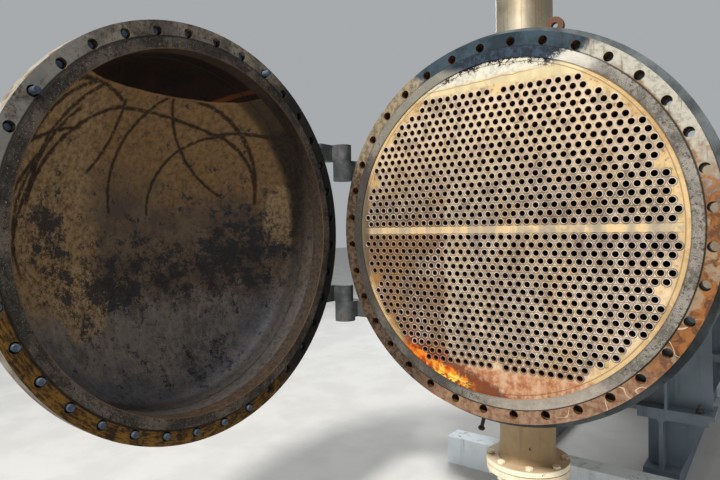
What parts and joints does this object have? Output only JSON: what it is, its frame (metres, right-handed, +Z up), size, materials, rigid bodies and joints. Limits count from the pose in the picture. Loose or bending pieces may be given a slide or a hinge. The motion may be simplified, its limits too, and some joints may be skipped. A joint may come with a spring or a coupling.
{
  "type": "shell and tube heat exchanger",
  "caption": "Horizontal shell and tube heat exchanger on saddles, its dished front cover swung open on two hinges to bare the drilled tubesheet.",
  "frame": {"origin": "on the floor, under the middle of the front cross beam", "axes": "+Y from the open front end towards the rear, +X right, +Z up"},
  "size_m": [2.3725, 7.65, 2.9],
  "materials": {
    "scaled_steel": "mineral scale and rust over machined steel",
    "bare_steel": "machined gasket face, dulled",
    "rusty_steel": "rusty machined forging",
    "beige_paint": "chalky beige paint",
    "bare_steel_pipe": "satin pipe",
    "blue_paint": "pale blue-grey paint",
    "weathered_steel": "grey weathered steel",
    "brown_scale": "brown scale over steel"
  },
  "bodies": {
    "vessel": {"tubesheet": "scaled_steel", "face_ring": "bare_steel", "shell_flange": "rusty_steel", "shell": "beige_paint", "rear_shell_flange": "rusty_steel", "rear_tubesheet": "rusty_steel", "channel_flange": "rusty_steel", "channel_barrel": "beige_paint", "channel_head": "beige_paint", "channel_nozzle_top": "beige_paint", "channel_nozzle_bottom": "beige_paint", "shell_nozzle_top": "bare_steel_pipe", "shell_nozzle_bottom": "beige_paint", "companion_flange": "beige_paint", "saddle_front": "blue_paint", "saddle_rear": "blue_paint", "pedestal_front_left": "blue_paint", "pedestal_front_right": "blue_paint", "pedestal_rear_left": "blue_paint", "pedestal_rear_right": "blue_paint", "cross_beam_front": "blue_paint", "cross_beam_rear": "blue_paint", "runner_left": "blue_paint", "runner_right": "blue_paint", "vessel_hinge_upper": "weathered_steel", "vessel_hinge_lower": "weathered_steel", "hinge_pin_upper": "weathered_steel", "hinge_pin_lower": "weathered_steel"},
    "cover": {"cover_flange": "rusty_steel", "cover_ring": "bare_steel", "cover_barrel": "brown_scale", "cover_head": "brown_scale", "cover_hinge_upper": "weathered_steel", "cover_hinge_lower": "weathered_steel"}
  },
  "joints": [
    {"name": "cover_swing", "type": "hinge", "parent": "vessel", "child": "cover", "pos_m": [-0.901, -1.056, 1.6], "axis": [0, 0, 1], "range_deg": [-80, 89.4]}
  ]
}
